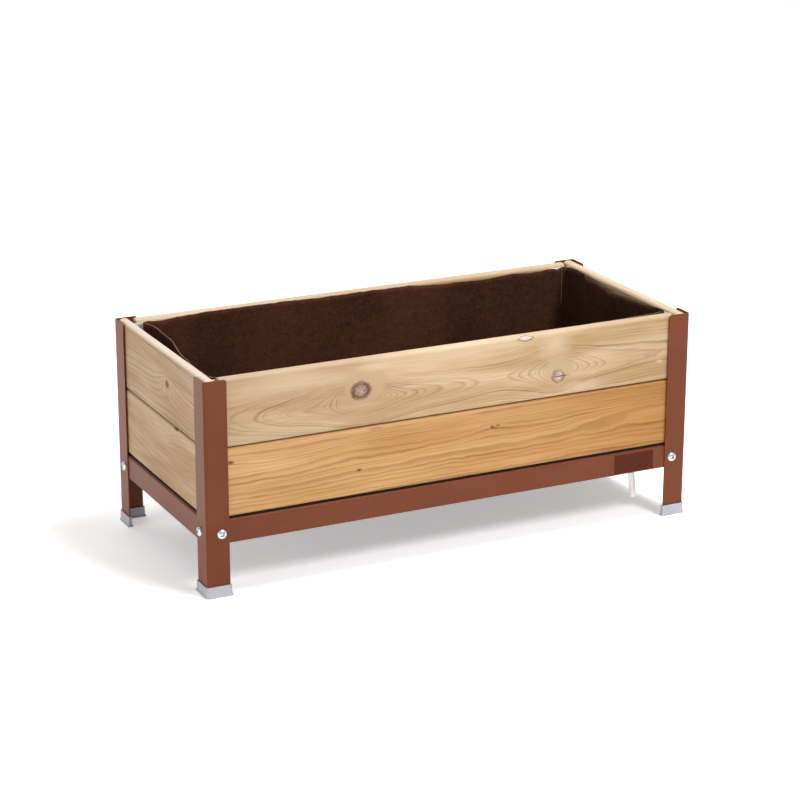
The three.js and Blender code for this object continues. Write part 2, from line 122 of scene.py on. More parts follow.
# Edges of the pieces that keep their CAD shape
FRAME_EDGE_ROUND = 0.4 * MM
SMALL_EDGE_ROUND = 0.3 * MM
SCREW_EDGE_ROUND = 0.1 * MM
TRAY_EDGE_ROUND = 0.5 * MM
EDGE_SEGMENTS = 2
EDGE_ANGLE = math.radians(35)
FLAT_ANGLE = math.radians(0.5)
WELD_DISTANCE = 0.001 * MM
FLAT_FACE_WEIGHT = 100
# Edges that bend by more than this are shaded sharp
CREASE_ANGLE = math.radians(40)

# Liner: each panel's top edge, walked anticlockwise from the front, as places with their share of the run,
# their drop below the rim and their lean away from the boards in millimetres, below zero towards them
LINER_EDGES = (
    ((0, 4, -2), (0.05, 8, 1), (0.3, 7, 4), (0.62, 9, 7), (0.9, 5, 2), (1, 1.2, -2)),
    (
        (0, 1.2, -2), (0.06, 2, -1), (0.12, 4.5, 1), (0.2, 7, 2), (0.35, 9, 3), (0.52, 12.5, 4.5),
        (0.6, 9.5, 3.5), (0.7, 7.5, 2.5), (0.77, 4.5, 8), (0.83, 1.5, 2.5), (0.9, 1, 1), (1, 2.4, 1),
    ),
    (
        (0, 4, 1), (0.007, 6, 1), (0.013, 8, 1), (0.02, 4.5, 1), (0.03, 4.5, 1), (0.055, 6, 1.5),
        (0.09, 6.5, 2), (0.13, 3.5, 2), (0.19, 7, 2), (0.3, 5.5, 1), (0.41, 1.5, -2.5), (0.6, 2, -2.5),
        (0.7, 0.5, -3), (0.86, 0.5, -2), (0.93, 2, 1), (0.97, 4, 2), (1, 2, 2),
    ),
    (
        (0, 1, 5.5), (0.07, 3, 15), (0.27, 5.4, 17), (0.62, 8.5, 3), (0.74, 11, 1.5), (0.94, 10, 1),
        (1, 4, -2),
    ),
)
LINER_HALF = Vector((421.1, 171.1)) * MM
LINER_CORNER_ROUND = 12 * MM
LINER_LEAST_DROP = 0.3 * MM
LINER_LEAN_START = 0.1
LINER_THICKNESS = 2 * MM
LINER_GAP = 0.3 * MM
LINER_STEP = 5 * MM
LINER_CORNER_STEPS = 8
LINER_ROWS = 36
LINER_ROW_CROWDING = 1.25
LINER_FOOT_ROUND = 9 * MM
# The right panel's end laps over the back panel, and its cut edge shows
LINER_LAP_SIDE = 1
LINER_LAP = 1.6 * MM
LINER_LAP_START = 0.85
LINER_LAP_SHIFT = 0.0005
LINER_SEAM_ROWS = 9
# The felt's bulges and its ragged edge: waves to a metre, and sizes
RIPPLE_BROAD_WAVES = 9
RIPPLE_BROAD = 2.2 * MM
RIPPLE_FINE_WAVES = 38
RIPPLE_FINE = 0.7 * MM
RIPPLE_MIDDLE = 0.6 * MM
RAGGED_FINE_WAVES = 160
RAGGED_BROAD_WAVES = 45
RAGGED_SIZE = 0.8 * MM

# Sticker on the front rail
STICKER_LEFT = 309 * MM
STICKER_RIGHT = 387 * MM
STICKER_LOW = 92 * MM
STICKER_HIGH = 126 * MM
STICKER_THICKNESS = 0.2 * MM
STICKER_CORNER = 1.5 * MM
STICKER_CORNER_STEPS = 4

# Stage: a large floor that glows a little, a pale surrounding and the point that the lights face
FLOOR_HALF = 30
FLOOR_GLOW = 0.4
WORLD_STRENGTH = 0.32
LIGHT_AIM = (0, 0, 0.2)


def add_object(name, mesh, material):
    """A new object with one material."""
    made = bpy.data.objects.new(name, mesh)
    bpy.context.scene.collection.objects.link(made)
    mesh.materials.clear()
    mesh.materials.append(material)
    return made


def mesh_from(name, points, faces):
    """A smooth-shaded mesh of these points and faces."""
    mesh = bpy.data.meshes.new(name)
    mesh.from_pydata(points, [], faces)
    mesh.validate()
    mesh.shade_smooth()
    return mesh


def capped_skin(rings):
    """The points and faces of a skin through rings of points: row by row, then a face over each end."""
    count = len(rings[0])
    points = [point for ring in rings for point in ring]
    faces = []
    for row in range(len(rings) - 1):
        near, far = row * count, (row + 1) * count
        for k in range(count):
            following = (k + 1) % count
            faces.append((near + k, near + following, far + following, far + k))
    faces.append(tuple(range(count))[::-1])
    faces.append(tuple(range(len(points) - count, len(points))))
    return points, faces


def round_corners(corners, steps):
    """An outline of quarter circles, each given by its middle, its radius and its start in degrees."""
    points = []
    for across, up, radius, start in corners:
        for step in range(steps + 1):
            angle = math.radians(start + 90 * step / steps)
            points.append((across + radius * math.cos(angle), up + radius * math.sin(angle)))
    return points


def side_turn(k):
    """The turn from the front to a side, and that side's inward direction."""
    turn = Matrix.Rotation(math.radians(90 * k), 4, "Z")
    return turn, turn @ Vector((0, 1, 0))


def side_ends(k):
    """The names of a side's two ends, which are the sides that it meets."""
    return SIDES[k - 1], SIDES[(k + 1) % len(SIDES)]


def smooth(share):
    """A share from 0 to 1, eased at both ends."""
    return share * share * (3 - 2 * share)


def stand_for(piece, slot, *nodes):
    """Lets a piece ride with the planter and stand for its CAD nodes, which it hides. The slot is not used.
    """
    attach(piece, "root")
    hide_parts(*nodes)


def weigh_normals(piece):
    """Keeps large flat faces flat beside small rounded ones."""
    modifier = piece.modifiers.new("flat faces", "WEIGHTED_NORMAL")
    modifier.weight = FLAT_FACE_WEIGHT
    modifier.keep_sharp = True


def add_camera():
    back = Vector((
        math.sin(CAMERA_AZIMUTH) * math.cos(CAMERA_ELEVATION),
        -math.cos(CAMERA_AZIMUTH) * math.cos(CAMERA_ELEVATION),
        math.sin(CAMERA_ELEVATION),
    ))
    level = Vector((math.cos(CAMERA_AZIMUTH), math.sin(CAMERA_AZIMUTH), 0))
    upright = back.cross(level)
    right = level * math.cos(CAMERA_ROLL) + upright * math.sin(CAMERA_ROLL)
    up = upright * math.cos(CAMERA_ROLL) - level * math.sin(CAMERA_ROLL)
    place = CAMERA_AIM + back * CAMERA_DISTANCE + right * CAMERA_RIGHT + up * CAMERA_RISE
    data = bpy.data.cameras.new("camera")
    data.sensor_width = SENSOR_WIDTH
    data.lens = FOCAL_PIXELS / PHOTO_PIXELS * SENSOR_WIDTH
    camera = bpy.data.objects.new("camera", data)
    camera.matrix_world = Matrix.Translation(place) @ Matrix((right, up, back)).transposed().to_4x4()
    bpy.context.scene.collection.objects.link(camera)
    bpy.context.scene.camera = camera


class Nodes:
    """Builds a material's nodes: each method adds one and returns its output."""

    def __init__(self, name):
        self.material = bpy.data.materials.new(name)
        self.material.use_nodes = True
        self.tree = self.material.node_tree
        self.shader = self.tree.nodes["Principled BSDF"]

    def feed(self, socket, value):
        if isinstance(value, bpy.types.NodeSocket):
            self.tree.links.new(value, socket)
        else:
            socket.default_value = value

    def node(self, kind, inputs, **settings):
        made = self.tree.nodes.new(kind)
        for key, value in settings.items():
            setattr(made, key, value)
        for key, value in inputs.items():
            self.feed(made.inputs[key], value)
        return made

    def place(self):
        return self.node("ShaderNodeTexCoord", {}).outputs["Object"]

    def split(self, vector):
        return self.node("ShaderNodeSeparateXYZ", {0: vector}).outputs

    def math(self, operation, first, second=0.0):
        return self.node("ShaderNodeMath", {0: first, 1: second}, operation=operation).outputs[0]

    def vector(self, operation, first, second):
        made = self.node("ShaderNodeVectorMath", {0: first, 1: second}, operation=operation)
        return made.outputs["Value" if operation == "DOT_PRODUCT" else "Vector"]

    def noise(self, place, scale, detail=2.0, roughness=0.5):
        """A noise from 0 to 1, as fine along each axis as scale says, in waves to a metre."""
        stretched = self.vector("MULTIPLY", place, scale)
        inputs = {"Vector": stretched, "Scale": 1.0, "Detail": detail, "Roughness": roughness}
        return self.node("ShaderNodeTexNoise", inputs).outputs["Fac"]

    def noise_along(self, value, scale, detail=1.0):
        inputs = {"W": value, "Scale": scale, "Detail": detail}
        return self.node("ShaderNodeTexNoise", inputs, noise_dimensions="1D").outputs["Fac"]

    def spread(self, value, low, high, to_low=0.0, to_high=1.0):
        """Eases a value from one range to another."""
        inputs = {"Value": value, "From Min": low, "From Max": high, "To Min": to_low, "To Max": to_high}
        return self.node("ShaderNodeMapRange", inputs, interpolation_type="SMOOTHSTEP").outputs[0]

    def mix(self, factor, first, second, blend="MIX"):
        made = self.node("ShaderNodeMix", {0: factor}, data_type="RGBA", blend_type=blend)
        self.feed(made.inputs[6], first)
        self.feed(made.inputs[7], second)
        return made.outputs[2]

    def curve(self, value, stops):
        """A value that follows stops of place and height."""
        made = self.node("ShaderNodeValToRGB", {0: value})
        steps = made.color_ramp.elements
        while len(steps) < len(stops):
            steps.new(1.0)
        for step, (place, height) in zip(steps, stops):
            step.position = place
            step.color = (height, height, height, 1)
        return made.outputs["Color"]

    def bump(self, height, distance, strength):
        inputs = {"Height": height, "Distance": distance, "Strength": strength}
        self.feed(self.shader.inputs["Normal"], self.node("ShaderNodeBump", inputs).outputs[0])

    def finish(self, **values):
        """Sets the shader's own sockets, whose names are written with underscores."""
        for key, value in values.items():
            self.feed(self.shader.inputs[key.replace("_", " ")], value)
        return self.material


def tone(red, green, blue):
    """A colour with levels from 0 to 255, as linear light."""
    def linear(level):
        share = level / 255
        return share / 12.92 if share <= 0.04045 else ((share + 0.055) / 1.055) ** 2.4

    return (linear(red), linear(green), linear(blue), 1)


# Finishes
def painted_steel():
    nodes = Nodes("painted_steel")
    place = nodes.place()
    cloud = nodes.noise(place, (7, 7, 11), 3)
    peel = nodes.noise(place, (900, 900, 900), 2)
    colour = nodes.mix(nodes.spread(cloud, 0.3, 0.7), tone(103, 52, 29), tone(111, 57, 33))
    nodes.bump(peel, 0.05 * MM, 0.6)
    roughness = nodes.spread(peel, 0.2, 0.8, 0.32, 0.44)
    return nodes.finish(
        Base_Color=colour, Roughness=roughness, IOR=1.24,
        Sheen_Weight=0.3, Sheen_Roughness=0.4, Sheen_Tint=(1.0, 0.66, 0.52, 1),
    )


def zinc():
    nodes = Nodes("zinc")
    spangle = nodes.noise(nodes.place(), (420, 420, 420), 2)
    colour = nodes.mix(spangle, tone(230, 231, 234), tone(246, 246, 248))
    roughness = nodes.spread(spangle, 0.2, 0.8, 0.34, 0.5)
    nodes.bump(spangle, 0.04 * MM, 0.5)
    return nodes.finish(Base_Color=colour, Roughness=roughness, Metallic=0.3)


def bolt_zinc():
    """Bright zinc with its cross recess darkened by painted shade."""
    nodes = Nodes("bolt_zinc")
    place = nodes.place()
    spangle = nodes.noise(place, (420, 420, 420), 2)
    across, depth, high = nodes.split(place)
    square = nodes.math("ADD", nodes.math("POWER", across, 2), nodes.math("POWER", high, 2))
    arm_end = RECESS_ARM + RECESS_SHADE_FADE
    within = nodes.spread(nodes.math("SQRT", square), RECESS_ARM, arm_end, 1.0, 0.0)
    round_share = nodes.math("SUBTRACT", 1.0, nodes.math("DIVIDE", square, BOLT_HEAD_RADIUS ** 2))
    crown = nodes.math("MULTIPLY", nodes.math("SQRT", round_share), BOLT_HEAD_HEIGHT - BOLT_HEAD_RIM)
    below = nodes.math("ADD", depth, nodes.math("ADD", crown, BOLT_HEAD_RIM))
    sunk = nodes.spread(below, RECESS_SHADE_FROM, RECESS_SHADE_TO)
    bottom = RECESS_DEPTH - BOLT_HEAD_HEIGHT
    wall = nodes.spread(depth, bottom - RECESS_SHADE_TO, bottom - RECESS_SHADE_FROM, 1.0, 0.0)
    recess_shade = nodes.math("MULTIPLY", nodes.math("MULTIPLY", within, sunk), wall)
    colour = nodes.mix(spangle, tone(206, 209, 214), tone(234, 237, 240))
    # Painted shade: the recess is darkened
    colour = nodes.mix(recess_shade, colour, tone(84, 90, 104))
    roughness = nodes.spread(spangle, 0.2, 0.8, 0.2, 0.36)
    nodes.bump(spangle, 0.04 * MM, 0.5)
    return nodes.finish(Base_Color=colour, Roughness=roughness, Metallic=0.75)


def grey_plastic():
    nodes = Nodes("grey_plastic")
    place = nodes.place()
    cloud = nodes.noise(place, (60, 60, 60), 3)
    grain = nodes.noise(place, (1500, 1500, 1500), 1)
    colour = nodes.mix(cloud, tone(163, 161, 169), tone(177, 174, 183))
    nodes.bump(grain, 0.05 * MM, 0.5)
    return nodes.finish(Base_Color=colour, Roughness=nodes.spread(grain, 0.2, 0.8, 0.4, 0.55))


def black_plastic():
    nodes = Nodes("black_plastic")
    place = nodes.place()
    cloud = nodes.noise(place, (30, 30, 30), 3)
    grain = nodes.noise(place, (1200, 1200, 1200), 1)
    colour = nodes.mix(cloud, tone(28, 20, 16), tone(36, 27, 22))
    nodes.bump(grain, 0.06 * MM, 0.6)
    return nodes.finish(Base_Color=colour, Roughness=nodes.spread(grain, 0.2, 0.8, 0.6, 0.75), IOR=1.18)


def clear_tube():
    nodes = Nodes("clear_tube")
    place = nodes.place()
    cloud = nodes.noise(place, (90, 90, 25), 2)
    colour = nodes.mix(cloud, tone(248, 241, 238), tone(254, 250, 248))
    roughness = nodes.spread(cloud, 0.2, 0.8, 0.18, 0.3)
    # The tube glows a little: a painted glow that brightens it in the shade under the tray
    return nodes.finish(
        Base_Color=colour, Roughness=roughness, IOR=1.4, Transmission_Weight=0.15,
        Emission_Color=(1.0, 0.95, 0.93, 1), Emission_Strength=0.1,
    )


def brown_felt(name, dark, light):
    nodes = Nodes(name)
    place = nodes.place()
    broad = nodes.noise(place, (7, 7, 4), 2)
    clump = nodes.noise(place, (70, 70, 90), 4, 0.65)
    tuft = nodes.noise(place, (460, 460, 560), 3, 0.7)
    fibre = nodes.noise(place, (1900, 1900, 700), 2, 0.6)
    height = nodes.math("ADD", nodes.math("MULTIPLY", tuft, 0.7), nodes.math("MULTIPLY", fibre, 0.3))
    share = nodes.math("ADD", nodes.math("MULTIPLY", clump, 0.25), nodes.math("MULTIPLY", height, 0.75))
    share = nodes.math("ADD", share, nodes.spread(broad, 0.3, 0.7, -0.05, 0.05))
    colour = nodes.mix(nodes.spread(share, 0.33, 0.68), dark, light)
    nodes.bump(height, 1.2 * MM, 0.8)
    return nodes.finish(Base_Color=colour, Roughness=0.95, Specular_IOR_Level=0.15)


def sticker_film():
    nodes = Nodes("sticker_film")
    place = nodes.place()
    cloud = nodes.noise(place, (40, 40, 90), 3)
    colour = nodes.mix(cloud, tone(76, 33, 20), tone(84, 38, 25))
    return nodes.finish(Base_Color=colour, Roughness=nodes.spread(cloud, 0.3, 0.7, 0.28, 0.38), IOR=1.15)


# Boards: the grain is the distance from a pith line behind the face, bent round hills where branches rise
# The upper edge is paler: partly wear, partly a painted highlight where light falls on the top
SHOWN_EDGE_WEAR_AND_LIGHT = 0.22
HIDDEN_EDGE_WEAR_AND_LIGHT = 0.04


class Board:
    """A board's figure, in millimetres from the middle of its lower edge."""

    # How the pith goes deeper to the left, how much the rings waver, and how dark they are
    tilt = 0.0
    wave = 3.2
    contrast = 1.0
    # Hills in the grain: along, up, half width, half height and height
    hills = ()
    # Where the rings fade towards the upper edge, and how that place rises to the right
    plain = (100, 120)
    plain_rise = 0.0
    # Marks: along, up, half width and half height, and for a knot its darkness
    halos = ()
    knots = ()
    pins = ()
    pale = ()
    streaks = ()
    cracks = ()
    scars = ()
    # Tints of the left end, the middle and the right end: the wood's own tone, with painted shade that evens
    # out how the lamps fall across the boards
    tints_and_shades = ()
    # How pale the upper edge is, from wear with painted light on the top, and whether the wood is the warmer
    # kind
    worn_and_lit = SHOWN_EDGE_WEAR_AND_LIGHT
    warm = False

    def __init__(self, seed, pith, spacing, **figure):
        """The pith is given by its height and its depth, and the rings by their spacing."""
        self.seed = seed
        self.pith = pith
        self.spacing = spacing
        for key, value in figure.items():
            setattr(self, key, value)


BOARDS = {
    "front_upper": Board(
        seed=1,
        pith=(48, 40),
        spacing=5.6,
        tilt=0.04,
        contrast=0.66,
        hills=(
            (-290, 40, 62, 18, 20), (-172, 58, 32, 28, 95), (-110, 46, 90, 16, 28),
            (215, 46, 85, 15, 18), (193, 42, 25, 24, 52),
        ),
        plain=(62, 84),
        plain_rise=0.1,
        halos=((-166, 73, 40, 29), (194, 44, 26, 26)),
        knots=((-174, 62, 17, 14.5, 0.95), (194, 35, 12, 11, 0.6)),
        pale=(
            (-310, 92, 140, 32), (187, 92, 40, 34), (-150, 100, 40, 10), (246, 12, 60, 14),
            (393, 35, 9, 4), (397, 34, 6, 3),
        ),
        cracks=((197, 35, 20, 1.2), (190, 38, 6, 0.9)),
        scars=((130, 110, 13, 3.8),),
        tints_and_shades=((0.8, 0.77, 0.72), (0.96, 0.96, 0.96), (0.85, 0.83, 0.79)),
    ),
    "front_lower": Board(
        seed=2,
        worn_and_lit=HIDDEN_EDGE_WEAR_AND_LIGHT,
        pith=(-110, 40),
        spacing=6.4,
        wave=5.5,
        contrast=0.8,
        hills=(
            (-190, 78, 130, 20, 12), (70, 80, 50, 13, 12), (430, 70, 230, 20, 36), (-404, 90, 40, 12, 8),
        ),
        pins=((-178, 43, 6, 3), (69, 80, 5, 4), (80, 82, 6, 1.6), (76, 77, 5, 1.2), (-404, 91, 7, 4)),
        streaks=((-147, 110, 16, 4), (58, 108, 28, 3.5), (112, 109, 20, 3)),
        tints_and_shades=((1.0, 1.03, 1.14), (0.91, 0.9, 0.86), (0.71, 0.63, 0.44)),
        warm=True,
    ),
    "left_upper": Board(
        seed=3,
        pith=(-14, 30),
        spacing=7.6,
        contrast=0.62,
        hills=((32, 64, 44, 15, 15), (32, 64, 18, 18, 20)),
        knots=((32, 64, 7, 6.5, 0.9),),
        pins=((31, 63, 6.5, 6),),
        tints_and_shades=((0.78, 0.76, 0.74), (0.79, 0.76, 0.73), (0.81, 0.78, 0.76)),
        worn_and_lit=0.65,
    ),
    "left_lower": Board(
        seed=4,
        worn_and_lit=HIDDEN_EDGE_WEAR_AND_LIGHT,
        pith=(150, 30),
        spacing=8.4,
        contrast=0.38,
        hills=((0, 112, 45, 26, 26), (2, 98, 18, 18, 22), (92, 50, 50, 14, 12)),
        tints_and_shades=((0.8, 0.76, 0.72), (0.8, 0.76, 0.72), (0.82, 0.78, 0.74)),
        cracks=((66, 113.5, 12, 2),),
    ),
    "right_upper": Board(
        seed=5,
        pith=(40, 46),
        spacing=7.6,
        hills=((-60, 60, 90, 28, 30), (-60, 60, 30, 24, 26)),
        knots=((-60, 60, 11, 9, 0.8),),
    ),
    "right_lower": Board(
        seed=6,
        worn_and_lit=HIDDEN_EDGE_WEAR_AND_LIGHT,
        pith=(-60, 40),
        spacing=7.8,
        hills=((70, 50, 80, 20, 16),),
        pins=((70, 50, 7, 5),),
        warm=True,
    ),
    "back_upper": Board(
        seed=7,
        pith=(58, 44),
        spacing=7.4,
        hills=(
            (-250, 55, 150, 28, 40), (-250, 55, 40, 28, 34), (120, 65, 130, 26, 34), (120, 65, 34, 24, 30),
        ),
        knots=((-250, 55, 15, 13, 0.9), (120, 65, 11, 10, 0.8)),
    ),
    "back_lower": Board(
        seed=8,
        worn_and_lit=HIDDEN_EDGE_WEAR_AND_LIGHT,
        pith=(-90, 42),
        spacing=7.6,
        hills=((-120, 70, 160, 22, 12), (230, 60, 90, 18, 14)),
        pins=((230, 60, 7, 5), (-330, 84, 6, 4)),
        warm=True,
    ),
}
SEED_STEP = 3.7
# Rings: a start that keeps their count above zero, how unevenly they lie, and their bends in millimetres
RING_START = 203
RING_UNEVEN = 1.4
PITH_WANDER = 40
BROAD_BEND = 11
# How dark a ring is, from its early wood to its late wood
PINE_BAND = ((0.0, 0.04), (0.44, 0.08), (0.7, 0.3), (0.86, 1.0), (0.95, 0.9), (1.0, 0.04))
WARM_BAND = ((0.0, 0.05), (0.3, 0.0), (0.52, 0.3), (0.74, 0.9), (0.88, 1.0), (1.0, 0.05))
# The share that rings fade to near the upper edge, and how uneven that place is in millimetres
FADED_RING = 0.12
FADE_UNEVEN = 30
# A knot that is darker than this has the darker heart
DARK_KNOT = 0.7
# How far from the middle the ends' tints and their painted shade are full, and where the upper edge is paler
# from wear and painted light
SHADE_TINT_SPAN = 420 * MM
WORN_AND_LIT_FROM = 109 * MM
WORN_AND_LIT_TO = 115 * MM
PINE_PALE = tone(209, 183, 148)
PINE_TAN = tone(186, 153, 112)
PINE_LINE = tone(104, 78, 48)
WARM_PALE = tone(206, 161, 106)
WARM_TAN = tone(191, 143, 86)
WARM_LINE = tone(142, 92, 48)
KNOT_RING = tone(88, 60, 50)
KNOT_HEART = tone(164, 130, 114)
KNOT_PALE = tone(206, 182, 160)
KNOT_SHADE = tone(120, 88, 74)
CRACK = tone(62, 42, 34)
PIN_BROWN = tone(88, 46, 26)
PALE_WOOD = tone(214, 192, 164)
WORN_AND_LIT_EDGE = tone(234, 220, 204)
VIOLET_STREAK = tone(150, 116, 104)
SCAR_WHITE = tone(206, 194, 178)
HALO = tone(186, 160, 124)
FIBRE_SHADE = tone(222, 212, 200)


def reach(nodes, place, along, up, wide, high):
    """The offset from a point of the board's face in shares of a half size, and its length."""
    offset = nodes.vector("SUBTRACT", place, (along * MM, 0, up * MM))
    scaled = nodes.vector("MULTIPLY", offset, (1 / (wide * MM), 0, 1 / (high * MM)))
    return scaled, nodes.math("SQRT", nodes.vector("DOT_PRODUCT", scaled, scaled))


def centred(nodes, place, scale, detail, size):
    """A noise about zero, of a size in millimetres."""
    return nodes.math("MULTIPLY", nodes.math("SUBTRACT", nodes.noise(place, scale, detail), 0.5), size)


def ring_field(nodes, place, shifted, board):
    """The wood's growth, in rings from the pith."""
    along, depth, up = nodes.split(place)
    pith_up, pith_depth = board.pith
    run = nodes.math("MULTIPLY", nodes.math("MINIMUM", along, 0), -board.tilt / MM)
    rise = nodes.math("SUBTRACT", nodes.math("DIVIDE", up, MM), pith_up)
    rise = nodes.math("ADD", rise, centred(nodes, shifted, (1.6, 0, 0), 1, PITH_WANDER))
    behind = nodes.math("SUBTRACT", nodes.math("ADD", run, pith_depth), nodes.math("DIVIDE", depth, MM))
    square = nodes.math("ADD", nodes.math("POWER", rise, 2), nodes.math("POWER", behind, 2))
    field = nodes.math("SQRT", square)
    for middle, high, wide, tall, height in board.hills:
        _, share = reach(nodes, place, middle, high, wide, tall)
        hill = nodes.math("DIVIDE", height, nodes.math("ADD", nodes.math("POWER", share, 2), 1))
        field = nodes.math("SUBTRACT", field, hill)
    field = nodes.math("ADD", field, centred(nodes, shifted, (6, 10, 14), 1, BROAD_BEND))
    field = nodes.math("ADD", field, centred(nodes, shifted, (26, 30, 60), 2, board.wave))
    rings = nodes.math("DIVIDE", nodes.math("ADD", field, RING_START), board.spacing)
    return nodes.math("ADD", rings, nodes.math("MULTIPLY", nodes.noise_along(rings, 0.6), RING_UNEVEN))


def add_knot(nodes, place, colour, knot):
    """A sawn branch: a dark ring round a paler heart with star cracks."""
    *spot, darkness = knot
    scaled, share = reach(nodes, place, *spot)
    ragged = nodes.noise(place, (110, 110, 110), 4, 0.6)
    share = nodes.math("ADD", share, nodes.math("MULTIPLY", nodes.math("SUBTRACT", ragged, 0.5), 0.55))
    ring = nodes.curve(nodes.math("MULTIPLY", share, 0.5), ((0.26, 0), (0.4, 1), (0.5, 0.9), (0.62, 0)))
    patchy = nodes.spread(nodes.noise(place, (60, 60, 60), 2), 0.35, 0.6, 0.45 * darkness, darkness)
    mottle = nodes.noise(place, (230, 230, 230), 4, 0.7)
    heart = KNOT_HEART if darkness > DARK_KNOT else KNOT_PALE
    heart = nodes.mix(nodes.spread(mottle, 0.38, 0.66, 0.0, darkness), heart, KNOT_SHADE)
    across, _, high = nodes.split(scaled)
    spokes = nodes.noise_along(nodes.math("ARCTAN2", high, across), 1.7, 2)
    star = nodes.curve(spokes, ((0.44, 0), (0.49, 1), (0.51, 1), (0.56, 0)))
    split = nodes.math("MULTIPLY", star, nodes.spread(share, 0.1, 0.65, 0.85, 0.05))
    heart = nodes.mix(split, heart, SCAR_WHITE)
    colour = nodes.mix(nodes.spread(share, 0.7, 0.95, 1.0, 0.0), colour, heart)
    return nodes.mix(nodes.math("MULTIPLY", ring, patchy), colour, KNOT_RING)


def add_scar(nodes, place, colour, scar):
    """A torn, pale patch with a dark line along its lower right edge."""
    along, up, wide, high = scar
    ragged = nodes.noise(place, (120, 120, 240), 3, 0.6)
    uneven = nodes.math("MULTIPLY", nodes.math("SUBTRACT", ragged, 0.5), 1.3)
    _, share = reach(nodes, place, along + 0.5, up - 0.4, wide + 2, high + 1.1)
    colour = nodes.mix(nodes.spread(nodes.math("ADD", share, uneven), 0.85, 1.1, 0.75, 0.0), colour, CRACK)
    _, share = reach(nodes, place, along, up, wide, high)
    return nodes.mix(nodes.spread(nodes.math("ADD", share, uneven), 0.8, 1.0, 0.95, 0.0), colour, SCAR_WHITE)


def add_marks(nodes, place, colour, marks, mark_colour, strength, core):
    """Soft, uneven spots of one colour."""
    uneven = centred(nodes, place, (60, 60, 90), 3, 0.5)
    for mark in marks:
        _, share = reach(nodes, place, *mark)
        share = nodes.math("ADD", share, uneven)
        colour = nodes.mix(nodes.spread(share, core, 1.1, strength, 0.0), colour, mark_colour)
    return colour


def grain(nodes, place, shifted, board):
    """The wood's colour with its growth rings, and the rings' own darkness."""
    if board.warm:
        pale, tan, line, stops = WARM_PALE, WARM_TAN, WARM_LINE, WARM_BAND
    else:
        pale, tan, line, stops = PINE_PALE, PINE_TAN, PINE_LINE, PINE_BAND
    rings = ring_field(nodes, place, shifted, board)
    band = nodes.curve(nodes.math("FRACT", rings), stops)
    own = nodes.node("ShaderNodeTexWhiteNoise", {"W": nodes.math("FLOOR", rings)}, noise_dimensions="1D")
    depth = nodes.spread(own.outputs["Value"], 0.0, 1.0, 0.55 * board.contrast, board.contrast)
    strength = nodes.math("MULTIPLY", band, depth)
    along, _, up = nodes.split(place)
    uneven = centred(nodes, shifted, (4, 0, 9), 2, FADE_UNEVEN)
    edge = nodes.math("ADD", nodes.math("DIVIDE", up, MM), uneven)
    if board.plain_rise:
        rise = nodes.math("MULTIPLY", nodes.math("MAXIMUM", along, 0), board.plain_rise / MM)
        edge = nodes.math("SUBTRACT", edge, rise)
    strength = nodes.math("MULTIPLY", strength, nodes.spread(edge, *board.plain, 1.0, FADED_RING))
    fade = nodes.spread(nodes.noise(shifted, (9, 20, 40), 2), 0.3, 0.65, 0.5, 1.0)
    zone = nodes.spread(nodes.noise(shifted, (3.2, 8, 24), 3), 0.35, 0.66)
    colour = nodes.mix(zone, pale, tan)
    colour = nodes.mix(nodes.math("MULTIPLY", strength, fade), colour, line)
    streak = nodes.noise(shifted, (5, 150, 150), 3, 0.6)
    colour = nodes.mix(nodes.spread(streak, 0.4, 0.75, 0.0, 0.3), colour, tan)
    return colour, band


def add_figure(nodes, place, colour, board):
    """The board's knots and other marks, the broad ones first."""
    colour = add_marks(nodes, place, colour, board.halos, HALO, 0.7, 0.85)
    colour = add_marks(nodes, place, colour, board.pale, PALE_WOOD, 0.55, 0.0)
    colour = add_marks(nodes, place, colour, board.streaks, VIOLET_STREAK, 0.65, 0.3)
    for knot in board.knots:
        colour = add_knot(nodes, place, colour, knot)
    colour = add_marks(nodes, place, colour, board.pins, PIN_BROWN, 0.85, 0.3)
    colour = add_marks(nodes, place, colour, board.cracks, CRACK, 0.9, 0.5)
    for scar in board.scars:
        colour = add_scar(nodes, place, colour, scar)
    return colour


def pine(name, board):
    """A board's own material, with its place on the board as the place in the wood."""
    nodes = Nodes(name)
    place = nodes.place()
    along, _, up = nodes.split(place)
    shifted = nodes.vector("ADD", place, (board.seed * SEED_STEP, 0, 0))
    colour, band = grain(nodes, place, shifted, board)
    fibre = nodes.noise(shifted, (12, 440, 440), 3, 0.6)
    shade = nodes.mix(1.0, colour, FIBRE_SHADE, "MULTIPLY")
    colour = nodes.mix(nodes.spread(fibre, 0.35, 0.7, 0.0, 0.4), colour, shade)
    colour = add_figure(nodes, place, colour, board)
    # The tints are partly the wood's own tone and partly painted shade that evens out how the lamps fall
    # across the boards
    if board.tints_and_shades:
        left, middle, right = [(*tint_and_shade, 1) for tint_and_shade in board.tints_and_shades]
        tint_and_shade = nodes.mix(nodes.spread(along, 0.0, -SHADE_TINT_SPAN), middle, left)
        tint_and_shade = nodes.mix(nodes.spread(along, 0.0, SHADE_TINT_SPAN), tint_and_shade, right)
        colour = nodes.mix(1.0, colour, tint_and_shade, "MULTIPLY")
    # Paler upper edge: wear and a painted highlight on the top
    colour = nodes.mix(nodes.spread(up, WORN_AND_LIT_FROM, WORN_AND_LIT_TO, 0.0, board.worn_and_lit), colour, WORN_AND_LIT_EDGE)
    height = nodes.math("ADD", nodes.math("MULTIPLY", fibre, 0.5), nodes.math("MULTIPLY", band, 0.5))
    nodes.bump(height, 0.12 * MM, 0.7)
    roughness = nodes.spread(fibre, 0.2, 0.8, 0.5, 0.66)
    return nodes.finish(Base_Color=colour, Roughness=roughness, Specular_IOR_Level=0.3)


def board_section(thick, high, inset, top_round):
    """The outline of a board's section with eased corners, drawn in by an inset."""
    low_round = BOARD_EDGE_ROUND
    corners = (
        (thick - low_round, low_round, low_round - inset, -90),
        (thick - top_round, high - top_round, top_round - inset, 0),
        (top_round, high - top_round, top_round - inset, 90),
        (low_round, low_round, low_round - inset, 180),
    )
    return round_corners(corners, BOARD_CORNER_STEPS)


